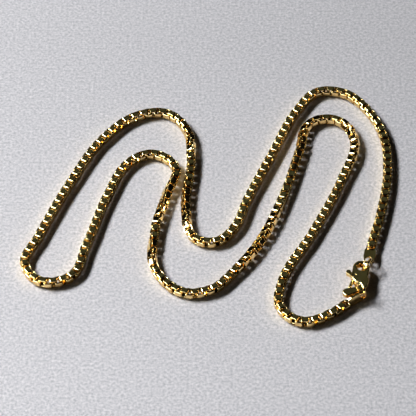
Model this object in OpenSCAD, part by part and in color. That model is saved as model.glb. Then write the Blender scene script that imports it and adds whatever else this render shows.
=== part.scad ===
// Box chain necklace with a lobster clasp, lying in loose bends on a flat surface.
// Millimetres, +Z up, z = 0 on the surface, x = y = 0 at the middle of the outline.

/* [Chain] */
// Outer width and height of a box link
link_w = 2; // [1.8:0.05:2.2]
// Width of the strip that the links are bent from
strip_w = 1.12; // [0.9:0.02:1.2]
// Thickness of the strip
strip_t = 0.38; // [0.3:0.02:0.44]
// Distance from one link to the next, along the chain
link_pitch = 1.065; // [1:0.005:1.15]

/* [End tabs] */
// Width of a tab's plate
tab_w = 2.4; // [2.1:0.05:2.5]
// Thickness of a tab's plate
tab_t = 0.4; // [0.3:0.05:0.45]
// Distance from the last link's end to the middle of a tab's round eye
tab_reach = 3.6; // [3.4:0.05:3.8]
// Diameter of a tab's round eye, for the jump ring
tab_eye_d = 1.45; // [1.4:0.05:1.55]
// Width of metal round a tab's round eye
tab_rim = 0.3; // [0.25:0.05:0.35]
// Width of metal round a tab's slot
slot_rim = 0.25; // [0.2:0.05:0.35]

/* [Jump rings] */
// Diameter of the wire of both jump rings
wire_d = 0.44; // [0.3:0.02:0.5]
// Diameter of jump ring A, at the middle of its wire
ring_a_d = 3.1; // [3:0.05:3.2]
// Diameter of jump ring B, at the middle of its wire
ring_b_d = 3.26; // [3.22:0.02:3.32]

/* [Clasp] */
// Thickness of the clasp's cheeks and claw
clasp_t = 1.8; // [1.6:0.05:1.9]
// Thickness of the clasp's head, round its eye
head_t = 1.7; // [1.5:0.05:1.75]
// Diameter of the clasp's head
head_d = 3.5; // [3.3:0.05:3.6]
// Diameter of the clasp's eye
eye_d = 1.9; // [1.8:0.05:2]
// Depth of the countersink round the eye
eye_bevel = 0.2; // [0.1:0.02:0.3]
// Width of the clasp's cheeks, where the lever sits
cheek_w = 3.4; // [3.2:0.05:3.5]
// Width of the clasp's back, beside the hook
back_w = 2.8; // [2.6:0.05:2.9]
// Width of the claw where jump ring B hangs
claw_w = 1.3; // [1.2:0.05:1.4]
// Diameter of the claw's broad tip
tip_d = 2; // [1.8:0.05:2.1]
// Bevel on the clasp's outer edges
bevel = 0.16; // [0.1:0.02:0.24]

/* [Lever] */
// Thickness of the lever's arms
lever_t = 0.9; // [0.6:0.05:1]
// Diameter of the round gate that closes the hook
gate_d = 0.7; // [0.5:0.05:0.75]
// Length of the gate, from the pivot pin to its tip
gate_len = 3.25; // [2.9:0.05:3.4]
// Diameter of the thumb knob
knob_d = 1; // [0.8:0.05:1.1]
// Height of the thumb knob
knob_t = 1.1; // [0.9:0.05:1.3]
// Width of the arm that carries the thumb knob
knob_arm_w = 0.8; // [0.6:0.05:0.85]
// Distance from the pivot pin to the thumb knob
knob_reach = 1.7; // [1.65:0.05:1.9]
// Diameter of the pivot pin
pin_d = 0.6; // [0.4:0.02:0.7]

/* [Fits] */
// Gap between pieces that move past each other
gap = 0.08; // [0.04:0.01:0.1]
// Gap between the pivot pin and the clasp's cheeks
pin_gap = 0.02; // [0.01:0.005:0.04]

/* [Hidden] */
gold = [0.83, 0.66, 0.32];

// The chain's route from tab A to tab B: x, y and the turn of the links about the
// chain's own run, in degrees. The chain twists by quarter turns in a few places.
ROUTE = [
    [34, -12.6, 0], [36.5, -3.2, 0], [38.3, 7.8, 0], [38, 18.8, 0],
    [34.9, 26.7, 0], [30, 32, 0], [24.1, 32.4, 0], [19.4, 26.7, 0],
    [13.7, 13.6, 0], [8.1, 0.1, 0], [5.3, -7.8, 0], [1.4, -11.7, 0],
    [-3, -10.7, 0], [-5, -2.2, 60], [-3.9, 11.8, 95], [-4.9, 20.5, 170],
    [-9.4, 25.8, 180], [-16.1, 24.9, 180], [-23.3, 17.8, 180], [-29.7, 5.2, 180],
    [-35.9, -10.4, 180], [-38.4, -17.8, 180], [-34.7, -22.6, 180], [-28.7, -21.2, 180],
    [-25.8, -13, 180], [-21.5, 1.9, 180], [-17.3, 11, 180], [-12.3, 13.5, 180],
    [-7.4, 9.7, 180], [-9.1, 1.6, 215], [-11.5, -9.2, 270], [-11.2, -19.3, 355],
    [-5.4, -25.5, 360], [0.6, -24.7, 360], [4.7, -20.5, 360], [10.6, -11.8, 400],
    [15.9, 1.4, 362], [19.5, 14.2, 340], [22.3, 22.8, 280], [27.7, 23.8, 270],
    [31.6, 17.8, 330], [28.4, 5.8, 360], [21.7, -9.4, 360], [15.1, -22.6, 360],
    [14.6, -29.8, 360], [19.1, -33.3, 360], [24.8, -31.3, 360], [27.6, -29.1, 360]
];
LAST = len(ROUTE) - 1;
MIDDLE = 23;          // the route point where the chain's two halves meet
bend_limit = 12;      // degrees; a span that turns further gets a section at its middle

// Plan positions of the clasp's pieces
head_at = [31.5, -19.7];
cheek_at = [31, -22.1];
back_at = [31.5, -23.35];
root_at = [31.8, -24.7];
claw_at = [30.75, -25.6];
tip_at = [28.3, -26.45];
pivot_at = [29.95, -22];

// The clasp rests on its jump rings, clear of the surface
clasp_z = 0.68;
clasp_mid = clasp_z + clasp_t / 2;
clasp_top = clasp_z + clasp_t;
root_d = 1.4;
claw_lift = 0.7;           // how much higher the claw lies than the cheeks, underneath
tip_lift = 0.75;           // the same at the tip, which lies over the chain's end
slot_t = lever_t + 2 * gap;

// Directions of the lever's two arms, in degrees from +X, and how far it swings open
gate_dir = -112;
knob_dir = 133;
lever_swing = 10;

// How the tabs lie: level, turned with the chain, or on edge
wall_out = link_pitch - strip_t / 2;   // from the tube's end to the last link's end wall
tab_a_pose = [6, 0];                   // rise towards the ring and roll, in degrees
tab_b_pose = [5.5, 85];
tab_a_dir = -100;
tab_b_dir = 29;
tab_a_z = 1.05;
tab_b_z = 1.13;

// How the rings lie: middle, plan direction and lean from the surface, in degrees
ring_a_at = [32.6, -18.56];
ring_a_turn = [-121, 65];
ring_b_at = [30.94, -25.75];
ring_b_turn = [-59.7, 80.2];
ring_a_lift = 0.12;
ring_b_lift = 0.55;

$fn = 48;

function unit(v) = v / norm(v);
function point(i) = [ROUTE[i].x, ROUTE[i].y];
function span(i) = point(i + 1) - point(i);
function heading(i) =
    i == 0 ? unit(span(0)) :
    i == LAST ? unit(span(LAST - 1)) :
    unit(unit(span(i - 1)) + unit(span(i)));

// Place and direction along a span, t from 0 to 1, on a smooth curve through the points
function place(i, t) = let (d = norm(span(i)))
    (2 * t ^ 3 - 3 * t ^ 2 + 1) * point(i)
    + (t ^ 3 - 2 * t ^ 2 + t) * d * heading(i)
    + (3 * t ^ 2 - 2 * t ^ 3) * point(i + 1)
    + (t ^ 3 - t ^ 2) * d * heading(i + 1);
function run(i, t) = let (d = norm(span(i)))
    unit((6 * t ^ 2 - 6 * t) * (point(i) - point(i + 1))
    + (3 * t ^ 2 - 4 * t + 1) * d * heading(i)
    + (3 * t ^ 2 - 2 * t) * d * heading(i + 1));
function roll(i, t) = ROUTE[i].z * (1 - t) + ROUTE[i + 1].z * t;

// The chain's section: the eight corners of two strips crossed at a right angle
function turned(v, a) = [v.x * cos(a) - v.y * sin(a), v.x * sin(a) + v.y * cos(a)];
SECTION = [
    for (a = [0:90:270], side = [-1, 1]) turned([link_w / 2, side * strip_w / 2], a)
];
function half_height(r) = max([for (c = SECTION) c.x * sin(r) + c.y * cos(r)]);

// One section of the tube: its corners, set across the run and turned by the roll
function ring(i, t) = let (
        at = place(i, t), dir = run(i, t), r = roll(i, t),
        left = [-dir.y, dir.x, 0], up = [0, 0, 1],
        a = left * cos(r) - up * sin(r), b = up * cos(r) + left * sin(r))
    [for (c = SECTION) [at.x, at.y, half_height(r)] + c.x * a + c.y * b];
function bend(i) = acos(min(1, heading(i) * heading(i + 1)));
function rings(from, to) = [
    for (i = [from:to - 1]) each bend(i) > bend_limit ? [ring(i, 0), ring(i, 0.5)] : [ring(i, 0)],
    ring(to - 1, 1)
];

module tube(from, to) {
    R = rings(from, to);
    n = len(SECTION);
    m = len(R);
    polyhedron(
        points = [for (r = R) each r],
        faces = [
            [for (k = [0:n - 1]) k],
            for (j = [0:m - 2], k = [0:n - 1]) let (a = j * n + k, b = j * n + (k + 1) % n)
                each [[a, a + n, b + n], [a, b + n, b]],
            [for (k = [n - 1:-1:0]) (m - 1) * n + k]
        ]);
}

module chain_a() {
    color(gold) tube(0, MIDDLE);
}

module chain_b() {
    color(gold) tube(MIDDLE, LAST);
}

// An end tab, flat in its own frame: the last link's end wall stands at the origin and
// the round eye lies along +X. The slot near the origin holds the end wall.
slot_w = strip_w + 4 * gap;
slot_front = strip_t / 2 + 2 * gap;
slot_back = strip_t / 2 + gap;
neck_w = slot_w + 2 * slot_rim;
tab_end_d = tab_eye_d + 2 * tab_rim;
shoulder = [0.3, 0.9, 2.9];   // where the neck ends, the plate is full and it narrows

module tab() {
    linear_extrude(height = tab_t, center = true) difference() {
        union() {
            polygon([
                [-slot_back - slot_rim, -neck_w / 2], [shoulder[0], -neck_w / 2],
                [shoulder[1], -tab_w / 2], [shoulder[2], -tab_w / 2],
                [tab_reach, -tab_end_d / 2], [tab_reach, tab_end_d / 2],
                [shoulder[2], tab_w / 2], [shoulder[1], tab_w / 2],
                [shoulder[0], neck_w / 2], [-slot_back - slot_rim, neck_w / 2]
            ]);
            translate([tab_reach, 0]) circle(d = tab_end_d);
        }
        translate([-slot_back, -slot_w / 2]) square([slot_back + slot_front, slot_w]);
        translate([tab_reach, 0]) circle(d = tab_eye_d);
    }
}

function end_wall(i, out) = point(i) + wall_out * out;

module tab_a() {
    wall = end_wall(0, -heading(0));
    color(gold) translate([wall.x, wall.y, tab_a_z])
        rotate([0, 0, tab_a_dir]) rotate([0, -tab_a_pose[0], 0])
        rotate([tab_a_pose[1], 0, 0]) tab();
}

module tab_b() {
    wall = end_wall(LAST, heading(LAST));
    color(gold) translate([wall.x, wall.y, tab_b_z])
        rotate([0, 0, tab_b_dir]) rotate([0, -tab_b_pose[0], 0])
        rotate([tab_b_pose[1], 0, 0]) tab();
}

// A round wire ring that leans on the surface
module jump_ring(d, at, turn, lift) {
    translate([at.x, at.y, d / 2 * sin(turn[1]) + wire_d / 2 + lift])
        rotate([0, 0, turn[0]]) rotate([turn[1], 0, 0])
        rotate_extrude() translate([d / 2, 0]) circle(d = wire_d);
}

module ring_a() {
    color(gold) jump_ring(ring_a_d, ring_a_at, ring_a_turn, ring_a_lift);
}

module ring_b() {
    color(gold) jump_ring(ring_b_d, ring_b_at, ring_b_turn, ring_b_lift);
}

// A round boss with bevelled rims, from z = low to z = high
module boss(at, d, low, high) {
    translate([at.x, at.y, low]) {
        cylinder(d1 = d - 2 * bevel, d2 = d, h = bevel, $fn = 32);
        translate([0, 0, bevel]) cylinder(d = d, h = high - low - 2 * bevel, $fn = 32);
        translate([0, 0, high - low - bevel])
            cylinder(d1 = d, d2 = d - 2 * bevel, h = bevel, $fn = 32);
    }
}

head_low = clasp_mid - head_t / 2;
head_high = clasp_mid + head_t / 2;

module head_boss() { boss(head_at, head_d, head_low, head_high); }
module cheek_boss() { boss(cheek_at, cheek_w, clasp_z, clasp_top); }
module back_boss() { boss(back_at, back_w, clasp_z, clasp_top); }
module root_boss() { boss(root_at, root_d, clasp_z, clasp_top); }
module claw_boss() { boss(claw_at, claw_w, clasp_z + claw_lift, clasp_top); }
module tip_boss() { boss(tip_at, tip_d, clasp_z + tip_lift, clasp_top); }

// A bore through the head with countersunk mouths
module eye_bore() {
    translate([head_at.x, head_at.y, clasp_mid]) for (side = [0, 1]) mirror([0, 0, side]) {
        cylinder(d = eye_d, h = head_t);
        translate([0, 0, head_t / 2 - eye_bevel])
            cylinder(d1 = eye_d, d2 = eye_d + 4 * eye_bevel, h = 2 * eye_bevel);
    }
}

// The lever's outline swept over its swing, as a slot between the cheeks
hub_d = pin_d + 0.9;

module lever_slot() {
    translate([pivot_at.x, pivot_at.y, clasp_mid - slot_t / 2]) {
        cylinder(d = hub_d + 2 * gap, h = slot_t);
        for (swing = [0, 0.5, 1] * lever_swing) {
            rotate([0, 0, gate_dir + swing]) slot_arm(gate_len, gate_d);
            rotate([0, 0, knob_dir + swing]) slot_arm(2 * knob_reach, knob_arm_w);
        }
    }
}

module slot_arm(length, w) {
    translate([0, -w / 2 - gap, 0]) cube([length + gap, w + 2 * gap, slot_t]);
}

module clasp_body() {
    color(gold) difference() {
        union() {
            hull() { head_boss(); cheek_boss(); }
            hull() { cheek_boss(); back_boss(); }
            hull() { back_boss(); root_boss(); }
            hull() { root_boss(); claw_boss(); }
            hull() { claw_boss(); tip_boss(); }
        }
        eye_bore();
        lever_slot();
        translate([pivot_at.x, pivot_at.y, clasp_z - 1])
            cylinder(d = pin_d + 2 * pin_gap, h = clasp_t + 2);
    }
}

module gate() {
    rotate([0, 90, 0]) cylinder(d = gate_d, h = gate_len - gate_d / 2);
    translate([gate_len - gate_d / 2, 0, 0]) sphere(d = gate_d);
}

module knob_arm() {
    translate([0, -knob_arm_w / 2, -lever_t / 2]) cube([knob_reach, knob_arm_w, lever_t]);
    translate([knob_reach, 0, -knob_t / 2]) cylinder(d = knob_d, h = knob_t);
}

module clasp_lever() {
    color(gold) translate([pivot_at.x, pivot_at.y, clasp_mid]) difference() {
        union() {
            translate([0, 0, -lever_t / 2]) cylinder(d = hub_d, h = lever_t);
            rotate([0, 0, gate_dir]) gate();
            rotate([0, 0, knob_dir]) knob_arm();
        }
        translate([0, 0, -lever_t]) cylinder(d = pin_d + 2 * gap, h = 2 * lever_t);
    }
}

module pivot_pin() {
    color(gold) translate([pivot_at.x, pivot_at.y, clasp_z + gap])
        cylinder(d = pin_d, h = clasp_t - 2 * gap);
}

chain_a();
chain_b();
tab_a();
tab_b();
ring_a();
ring_b();
clasp_body();
clasp_lever();
pivot_pin();
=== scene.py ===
import math
import random

import bpy
import numpy as np
from mathutils import Matrix, Vector


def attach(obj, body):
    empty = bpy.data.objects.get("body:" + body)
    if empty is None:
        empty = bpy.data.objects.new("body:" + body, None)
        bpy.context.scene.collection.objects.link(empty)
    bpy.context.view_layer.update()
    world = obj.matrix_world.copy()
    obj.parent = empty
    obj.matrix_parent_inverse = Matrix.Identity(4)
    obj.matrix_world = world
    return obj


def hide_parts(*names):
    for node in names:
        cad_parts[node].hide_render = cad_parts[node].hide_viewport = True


# The box chain necklace, link by link, in polished gold, on the solids of the frame
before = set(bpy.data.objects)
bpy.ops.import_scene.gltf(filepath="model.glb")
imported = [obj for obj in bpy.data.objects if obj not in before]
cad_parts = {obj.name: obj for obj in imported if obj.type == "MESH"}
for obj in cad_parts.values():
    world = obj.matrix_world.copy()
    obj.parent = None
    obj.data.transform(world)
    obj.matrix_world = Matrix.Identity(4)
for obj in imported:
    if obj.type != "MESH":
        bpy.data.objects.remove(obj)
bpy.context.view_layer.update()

MM = 0.001
BODY = "necklace"

# The route of the chain from tab A to tab B, as in the part's source: x and y in
# millimetres and the turn of the links about the chain's own run, in degrees.
ROUTE = [
    (34, -12.6, 0), (36.5, -3.2, 0), (38.3, 7.8, 0), (38, 18.8, 0),
    (34.9, 26.7, 0), (30, 32, 0), (24.1, 32.4, 0), (19.4, 26.7, 0),
    (13.7, 13.6, 0), (8.1, 0.1, 0), (5.3, -7.8, 0), (1.4, -11.7, 0),
    (-3, -10.7, 0), (-5, -2.2, 60), (-3.9, 11.8, 95), (-4.9, 20.5, 170),
    (-9.4, 25.8, 180), (-16.1, 24.9, 180), (-23.3, 17.8, 180), (-29.7, 5.2, 180),
    (-35.9, -10.4, 180), (-38.4, -17.8, 180), (-34.7, -22.6, 180), (-28.7, -21.2, 180),
    (-25.8, -13, 180), (-21.5, 1.9, 180), (-17.3, 11, 180), (-12.3, 13.5, 180),
    (-7.4, 9.7, 180), (-9.1, 1.6, 215), (-11.5, -9.2, 270), (-11.2, -19.3, 355),
    (-5.4, -25.5, 360), (0.6, -24.7, 360), (4.7, -20.5, 360), (10.6, -11.8, 400),
    (15.9, 1.4, 362), (19.5, 14.2, 340), (22.3, 22.8, 280), (27.7, 23.8, 270),
    (31.6, 17.8, 330), (28.4, 5.8, 360), (21.7, -9.4, 360), (15.1, -22.6, 360),
    (14.6, -29.8, 360), (19.1, -33.3, 360), (24.8, -31.3, 360), (27.6, -29.1, 360),
]
MIDDLE = 23           # the route point where the chain's two halves meet
SPAN_STEPS = 60       # steps in each span that measure the curve's length

# Box links, in millimetres
LINK_W = 2.0          # outer width and height
STRIP_W = 1.2         # width of the strip that a link is bent from
STRIP_T = 0.35        # its thickness
PITCH = 1.065         # from link to link, along the chain
LINKS = 416
BEND_R = 0.36         # outer radius of a link's four bends
EDGE_R = 0.12         # rounding of the strip's edges
CROWN = 4             # degrees that the strip's wide faces lean at their edges
WOBBLE = 2.5          # degrees that a link is rolled at random, at most, either way
WOBBLE_SEED = 7
BEND_STEPS = 5
EDGE_STEPS = 2

# Jump rings, as in the part's source: diameter at the middle of the wire, middle, plan
# direction and lean, and lift from the sheet
WIRE_D = 0.44
RING_A = (3.1, (32.6, -18.56), (-121, 65), 0.12)
RING_B = (3.26, (30.94, -25.75), (-59.7, 80.2), 0.55)
RING_STEPS, WIRE_STEPS = 120, 28

# Finer copies of the tabs, the lever and the clasp: voxel in millimetres and rounds of
# smoothing
SMALL_VOXEL, SMALL_ROUNDS = 0.03, 6
CLASP_VOXEL, CLASP_ROUNDS = 0.045, 8

# Polished gold: its darkest and palest tone, and its least and greatest roughness
GOLD_DARK, GOLD_PALE = (0.78, 0.56, 0.27, 1), (0.96, 0.77, 0.43, 1)
GOLD_ROUGHNESS = (0.056, 0.112)

# The sheet below, in metres: half its width and how far it lies below the links, the
# tones of its grain, and the painted falloff of light across it: its brightness at -50 mm
# and 50 mm along each axis
SHEET_HALF, SHEET_DROP = 1.5, 0.00002
SHEET_DARK, SHEET_PALE = (0.40, 0.367, 0.366, 1), (0.96, 0.88, 0.868, 1)
SHEET_PAINTED_FALLOFF = (("X", 1.0, 0.88), ("Y", 1.1, 0.93))
PAINTED_FALLOFF_REACH = 0.05

# Lights: name, bearing from +x and height above the sheet in degrees, size in metres,
# power in watts, colour, and whether the sheet is lit too. The screen and the dim card
# show only in the metal.
LIGHTS = (
    ("key", 157, 44, (0.6, 0.24), 4.2, (0.88, 0.95, 1.0), True),
    ("screen", 202, 46, (1.0, 0.6), 4.8, (0.78, 0.92, 1.0), False),
    ("card", 90, 50, (0.9, 0.6), 0.03, (0.82, 1.0, 0.86), False),
)
LIGHT_DISTANCE = 1.2
LIGHT_TARGET = (0, 0, 0.001)
ROOM_DARK, ROOM_PALE = (0.0008, 0.0007, 0.0005, 1), (0.0058, 0.0056, 0.0046, 1)
EXPOSURE = 1.9        # stops

# The photograph's camera: the point that it looks at and its distance in metres, its
# height above the sheet in degrees, and its focal length in pixels of the picture
CAMERA_TARGET, CAMERA_DISTANCE, CAMERA_HEIGHT = (-0.0003, -0.0012, 0.0), 0.5112, 48
FOCAL_PX, PICTURE_PX = 2400, 416
SENSOR_MM = 36


def unit(v):
    return v / np.linalg.norm(v)


points = [np.array(p[:2]) for p in ROUTE]
spans = [b - a for a, b in zip(points, points[1:])]
chords = [unit(s) for s in spans]
headings = [chords[0]] + [unit(a + b) for a, b in zip(chords, chords[1:])] + [chords[-1]]


def place(i, t):
    """A point of the smooth curve through the route, in span i, t from 0 to 1."""
    d = np.linalg.norm(spans[i])
    return ((2 * t**3 - 3 * t**2 + 1) * points[i]
            + (t**3 - 2 * t**2 + t) * d * headings[i]
            + (3 * t**2 - 2 * t**3) * points[i + 1]
            + (t**3 - t**2) * d * headings[i + 1])


def run(i, t):
    """The direction of the curve there."""
    d = np.linalg.norm(spans[i])
    return unit((6 * t**2 - 6 * t) * (points[i] - points[i + 1])
                + (3 * t**2 - 4 * t + 1) * d * headings[i]
                + (3 * t**2 - 2 * t) * d * headings[i + 1])


def roll(i, t):
    """The turn of the links about the curve there, in degrees."""
    return ROUTE[i][2] * (1 - t) + ROUTE[i + 1][2] * t


def measured_curve():
    """(distance along the curve, span, t) at even steps in each span."""
    rows, total, last = [], 0.0, points[0]
    for i in range(len(spans)):
        for k in range(SPAN_STEPS + 1 if i == len(spans) - 1 else SPAN_STEPS):
            p = place(i, k / SPAN_STEPS)
            total += float(np.linalg.norm(p - last))
            last = p
            rows.append((total, i, k / SPAN_STEPS))
    return rows


CURVE = measured_curve()
DISTANCES = np.array([row[0] for row in CURVE])
LENGTH = float(DISTANCES[-1])


def along(s):
    """(point, direction, roll) at distance s, on a straight line beyond the ends."""
    if s <= 0:
        return points[0] + s * headings[0], headings[0], ROUTE[0][2]
    if s >= LENGTH:
        return points[-1] + (s - LENGTH) * headings[-1], headings[-1], ROUTE[-1][2]
    j = int(np.searchsorted(DISTANCES, s, side="right")) - 1
    (s0, i, t0), s1 = CURVE[j], DISTANCES[j + 1]
    t = t0 + (s - s0) / (s1 - s0) / SPAN_STEPS
    return place(i, t), run(i, t), roll(i, t)


def half_height(degrees):
    """Half the height of the chain's crossed section when it is rolled."""
    c, s = abs(math.cos(math.radians(degrees))), abs(math.sin(math.radians(degrees)))
    half, strip = LINK_W / 2, STRIP_W / 2
    return max(half * s + strip * c, strip * s + half * c)


def link_frame(s, rng):
    """(centre, run, left, up) of a link at distance s, rolled and yawed a little."""
    at, direction, degrees = along(s)
    degrees += rng.uniform(-WOBBLE, WOBBLE)
    z = half_height(degrees)
    r = math.radians(degrees)
    yaw = math.radians(rng.uniform(-WOBBLE, WOBBLE) / 2)
    d = np.array([direction[0] * math.cos(yaw) - direction[1] * math.sin(yaw),
                  direction[0] * math.sin(yaw) + direction[1] * math.cos(yaw), 0.0])
    left, up = np.array([-d[1], d[0], 0.0]), np.array([0.0, 0.0, 1.0])
    return (np.array([at[0], at[1], z]), d,
            left * math.cos(r) - up * math.sin(r), up * math.cos(r) + left * math.sin(r))


def strip_section():
    """Points and normals round the strip's own section: (out, across, n_out, n_across).
    Each wide face has a point at its middle and leans away a little towards its edges."""
    crown = math.radians(CROWN)
    flat = STRIP_W / 2 - EDGE_R
    sag = flat * math.tan(crown / 2)
    quarter = [(STRIP_T / 2, 0.0, 1.0, 0.0)]
    for k in range(EDGE_STEPS + 1):
        a = crown + (math.pi / 2 - crown) * k / EDGE_STEPS
        quarter.append((STRIP_T / 2 - EDGE_R - sag + EDGE_R * math.cos(a),
                        flat + EDGE_R * math.sin(a), math.cos(a), math.sin(a)))
    upper = quarter + [(-o, c, -n_o, n_c) for o, c, n_o, n_c in reversed(quarter)]
    lower = [(-o, -c, -n_o, -n_c) for o, c, n_o, n_c in upper[1:-1]]
    return np.array(upper + lower)


def loop_quads(rows, n):
    """The faces between rows of n points each, closed both ways."""
    return np.array([(j * n + k, (j + 1) % rows * n + k,
                      (j + 1) % rows * n + (k + 1) % n, j * n + (k + 1) % n)
                     for j in range(rows) for k in range(n)])


def link_form(pitch):
    """One link: vertices, normals and quads, run along x, width along y, hole along z."""
    section = strip_section()
    length = pitch + 2 * STRIP_T
    verts, normals = [], []
    for quarter in range(4):
        base = math.pi / 2 * quarter
        cx = (length / 2 - BEND_R) * (1 if quarter in (0, 3) else -1)
        cy = (LINK_W / 2 - BEND_R) * (1 if quarter in (0, 1) else -1)
        for k in range(BEND_STEPS + 1):
            a = base + math.pi / 2 * k / BEND_STEPS
            out = np.array([math.cos(a), math.sin(a), 0.0])
            across = np.array([0.0, 0.0, 1.0])
            centre = np.array([cx, cy, 0.0]) + (BEND_R - STRIP_T / 2) * out
            for o, c, n_o, n_c in section:
                verts.append(centre + o * out + c * across)
                normals.append(n_o * out + n_c * across)
    return np.array(verts), np.array(normals), loop_quads(4 * (BEND_STEPS + 1), len(section))


def add_object(name, data):
    obj = bpy.data.objects.new(name, data)
    bpy.context.scene.collection.objects.link(obj)
    return obj


def mesh_object(name, verts, quads, normals):
    """A mesh object from arrays in millimetres, smooth, with its own normals."""
    mesh = bpy.data.meshes.new(name)
    mesh.vertices.add(len(verts))
    mesh.vertices.foreach_set("co", (verts * MM).astype(np.float32).ravel())
    mesh.loops.add(quads.size)
    mesh.loops.foreach_set("vertex_index", quads.astype(np.int32).ravel())
    mesh.polygons.add(len(quads))
    mesh.polygons.foreach_set("loop_start", np.arange(0, quads.size, 4, dtype=np.int32))
    mesh.update(calc_edges=True)
    mesh.polygons.foreach_set("use_smooth", np.ones(len(quads), bool))
    mesh.normals_split_custom_set_from_vertices(normals.tolist())
    mesh.update()
    return add_object(name, mesh)


def build_links():
    """Two pieces of links, one for each half of the chain. Even links lie with their
    top and bottom walls showing, odd links with their side walls showing. The first and
    the last link reach one pitch beyond the route's ends, into the tabs' slots."""
    pitch = (LENGTH + 2 * (PITCH - (PITCH + 2 * STRIP_T) / 2)) / (LINKS - 1)
    start = (pitch + 2 * STRIP_T) / 2 - pitch
    verts, normals, quads = link_form(pitch)
    rng = random.Random(WOBBLE_SEED)
    middle = DISTANCES[MIDDLE * SPAN_STEPS]
    halves = {"links_a": [], "links_b": []}
    for k in range(LINKS):
        s = start + k * pitch
        centre, d, left, up = link_frame(s, rng)
        axes = np.array([d, up, -left]) if k % 2 == 0 else np.array([d, left, up])
        halves["links_a" if s < middle else "links_b"].append(
            (centre + verts @ axes, normals @ axes))
    pieces = []
    for (name, rows), node in zip(halves.items(), ("chain_a", "chain_b")):
        count = len(verts)
        obj = mesh_object(name, np.concatenate([r[0] for r in rows]),
                          np.concatenate([quads + k * count for k in range(len(rows))]),
                          np.concatenate([r[1] for r in rows]))
        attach(obj, BODY)
        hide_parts(node)
        pieces.append(obj)
    return pieces


def fine_copy(name, node, body, voxel, rounds):
    """A finer copy of a CAD node with softly rounded edges, as polished metal has."""
    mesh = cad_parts[node].data.copy()
    mesh.transform(Matrix.Scale(1 / MM, 4))
    coarse = add_object(name, mesh)
    remesh = coarse.modifiers.new("remesh", "REMESH")
    remesh.mode = "VOXEL"
    remesh.voxel_size = voxel
    smooth = coarse.modifiers.new("smooth", "SMOOTH")
    smooth.factor = 0.5
    smooth.iterations = rounds
    fine = bpy.data.meshes.new_from_object(
        coarse.evaluated_get(bpy.context.evaluated_depsgraph_get()))
    bpy.data.objects.remove(coarse)
    fine.transform(Matrix.Scale(MM, 4))
    fine.polygons.foreach_set("use_smooth", np.ones(len(fine.polygons), bool))
    fine.materials.clear()
    obj = add_object(name, fine)
    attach(obj, body)
    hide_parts(node)
    return obj


def round_ring(name, node, diameter, at, turn, lift):
    """A jump ring of round wire, its middle, plan direction and lean as in the source."""
    direction, lean = (math.radians(a) for a in turn)
    along_plan = np.array([math.cos(direction), math.sin(direction), 0.0])
    across = np.array([-math.sin(direction), math.cos(direction), 0.0])
    rise = across * math.cos(lean) + np.array([0.0, 0.0, math.sin(lean)])
    axis = np.cross(along_plan, rise)
    centre = np.array([at[0], at[1], diameter / 2 * math.sin(lean) + WIRE_D / 2 + lift])
    verts, normals = [], []
    for j in range(RING_STEPS):
        a = 2 * math.pi * j / RING_STEPS
        out = along_plan * math.cos(a) + rise * math.sin(a)
        for k in range(WIRE_STEPS):
            b = 2 * math.pi * k / WIRE_STEPS
            normal = out * math.cos(b) + axis * math.sin(b)
            verts.append(centre + diameter / 2 * out + WIRE_D / 2 * normal)
            normals.append(normal)
    obj = mesh_object(name, np.array(verts), loop_quads(RING_STEPS, WIRE_STEPS),
                      np.array(normals))
    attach(obj, BODY)
    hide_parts(node)
    return obj


def new_material(name):
    """(material, its node tree, its shader)"""
    material = bpy.data.materials.new(name)
    material.use_nodes = True
    return material, material.node_tree, material.node_tree.nodes["Principled BSDF"]


def add_noise(tree, vector, scale, detail):
    noise = tree.nodes.new("ShaderNodeTexNoise")
    noise.inputs["Scale"].default_value = scale
    noise.inputs["Detail"].default_value = detail
    tree.links.new(vector, noise.inputs["Vector"])
    return noise


def add_ramp(tree, value, low, high):
    """The colour between two stops, each (position, colour)."""
    ramp = tree.nodes.new("ShaderNodeValToRGB")
    for element, (position, color) in zip(ramp.color_ramp.elements, (low, high)):
        element.position = position
        element.color = color
    tree.links.new(value, ramp.inputs["Fac"])
    return ramp.outputs["Color"]


def add_range(tree, value, from_range, to_range):
    """A value mapped from one range to another."""
    node = tree.nodes.new("ShaderNodeMapRange")
    node.inputs["From Min"].default_value, node.inputs["From Max"].default_value = from_range
    node.inputs["To Min"].default_value, node.inputs["To Max"].default_value = to_range
    tree.links.new(value, node.inputs["Value"])
    return node.outputs["Result"]


def add_bump(tree, shader, height, strength, distance):
    bump = tree.nodes.new("ShaderNodeBump")
    bump.inputs["Strength"].default_value = strength
    bump.inputs["Distance"].default_value = distance
    tree.links.new(height, bump.inputs["Height"])
    tree.links.new(bump.outputs["Normal"], shader.inputs["Normal"])


def gold_material():
    """Polished yellow gold: small changes of tone and gloss, and faint fine scratches."""
    material, tree, shader = new_material("polished_gold")
    shader.inputs["Metallic"].default_value = 1.0
    coords = tree.nodes.new("ShaderNodeTexCoord").outputs["Object"]
    tone = add_noise(tree, coords, scale=400, detail=3).outputs["Fac"]
    color = add_ramp(tree, tone, (0.3, GOLD_DARK), (0.7, GOLD_PALE))
    gloss = add_range(tree, tone, (0, 1), GOLD_ROUGHNESS)
    tree.links.new(color, shader.inputs["Base Color"])
    tree.links.new(gloss, shader.inputs["Roughness"])
    scratches = add_noise(tree, coords, scale=2600, detail=4).outputs["Fac"]
    add_bump(tree, shader, scratches, strength=0.25, distance=0.00001)
    return material


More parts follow.
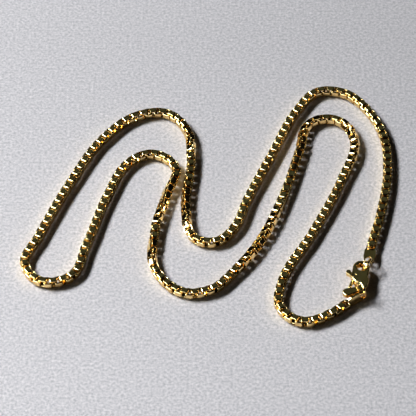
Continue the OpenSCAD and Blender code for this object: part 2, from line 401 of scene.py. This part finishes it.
def sheet_material():
    """A pale grey sheet with a fine paper grain, and a painted falloff of light that makes it
    brighter towards its near left.
    """
    material, tree, shader = new_material("sheet")
    coords = tree.nodes.new("ShaderNodeTexCoord").outputs["Object"]
    noise = add_noise(tree, coords, scale=1700, detail=6)
    noise.inputs["Roughness"].default_value = 0.65
    grain = noise.outputs["Fac"]
    tint = add_ramp(tree, grain, (0.2, SHEET_DARK), (0.8, SHEET_PALE))
    position = tree.nodes.new("ShaderNodeSeparateXYZ")
    tree.links.new(coords, position.inputs["Vector"])
    # Painted light: the tone is scaled brighter towards the near left and darker towards the
    # far right, as the lamps' falloff would make it
    for axis, low, high in SHEET_PAINTED_FALLOFF:
        painted_falloff = add_range(tree, position.outputs[axis], (-PAINTED_FALLOFF_REACH, PAINTED_FALLOFF_REACH), (low, high))
        scale = tree.nodes.new("ShaderNodeVectorMath")
        scale.operation = "SCALE"
        tree.links.new(tint, scale.inputs["Vector"])
        tree.links.new(painted_falloff, scale.inputs["Scale"])
        tint = scale.outputs["Vector"]
    tree.links.new(tint, shader.inputs["Base Color"])
    shader.inputs["Roughness"].default_value = 0.9
    add_bump(tree, shader, grain, strength=0.3, distance=0.00005)
    return material


def build_sheet():
    h = SHEET_HALF
    mesh = bpy.data.meshes.new("sheet")
    mesh.from_pydata([(-h, -h, 0), (h, -h, 0), (h, h, 0), (-h, h, 0)], [], [(0, 1, 2, 3)])
    mesh.materials.append(sheet_material())
    sheet = add_object("sheet", mesh)
    sheet.location.z = -SHEET_DROP


def aim(obj, target):
    obj.rotation_mode = "QUATERNION"
    obj.rotation_quaternion = (Vector(target) - obj.location).to_track_quat("-Z", "Y")


def add_camera():
    data = bpy.data.cameras.new("camera")
    data.sensor_width = SENSOR_MM
    data.lens = SENSOR_MM * FOCAL_PX / PICTURE_PX
    data.clip_start, data.clip_end = 0.01, 10
    camera = add_object("camera", data)
    height = math.radians(CAMERA_HEIGHT)
    camera.location = Vector(CAMERA_TARGET) + CAMERA_DISTANCE * Vector(
        (0, -math.cos(height), math.sin(height)))
    aim(camera, CAMERA_TARGET)
    bpy.context.scene.camera = camera


def add_light(name, bearing, height, size, power, color, lights_sheet):
    data = bpy.data.lights.new(name, "AREA")
    data.shape = "RECTANGLE"
    data.size, data.size_y = size
    data.energy = power
    data.color = color
    light = add_object(name, data)
    b, h = math.radians(bearing), math.radians(height)
    light.location = LIGHT_DISTANCE * Vector(
        (math.cos(b) * math.cos(h), math.sin(b) * math.cos(h), math.sin(h)))
    aim(light, LIGHT_TARGET)
    light.visible_diffuse = lights_sheet


def add_room():
    """The dim, uneven surroundings that the metal reflects."""
    world = bpy.data.worlds.new("room")
    world.use_nodes = True
    tree = world.node_tree
    coords = tree.nodes.new("ShaderNodeTexCoord").outputs["Generated"]
    shade = add_noise(tree, coords, scale=6, detail=1).outputs["Fac"]
    color = add_ramp(tree, shade, (0.3, ROOM_DARK), (0.7, ROOM_PALE))
    tree.links.new(color, tree.nodes["Background"].inputs["Color"])
    bpy.context.scene.world = world


gold = gold_material()
pieces = build_links() + [
    round_ring("jump_ring_a", "ring_a", *RING_A),
    round_ring("jump_ring_b", "ring_b", *RING_B),
    fine_copy("end_tab_a", "tab_a", BODY, SMALL_VOXEL, SMALL_ROUNDS),
    fine_copy("end_tab_b", "tab_b", BODY, SMALL_VOXEL, SMALL_ROUNDS),
    fine_copy("lobster_clasp", "clasp_body", BODY, CLASP_VOXEL, CLASP_ROUNDS),
    fine_copy("clasp_thumb_lever", "clasp_lever", "lever", SMALL_VOXEL, SMALL_ROUNDS),
]
for piece in pieces:
    piece.data.materials.append(gold)
for node_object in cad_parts.values():
    node_object.data.materials.clear()
    node_object.data.materials.append(gold)

build_sheet()
add_camera()
for light_row in LIGHTS:
    add_light(*light_row)
add_room()
view = bpy.context.scene.view_settings
view.view_transform = "Standard"
view.look = "High Contrast"
view.exposure = EXPOSURE
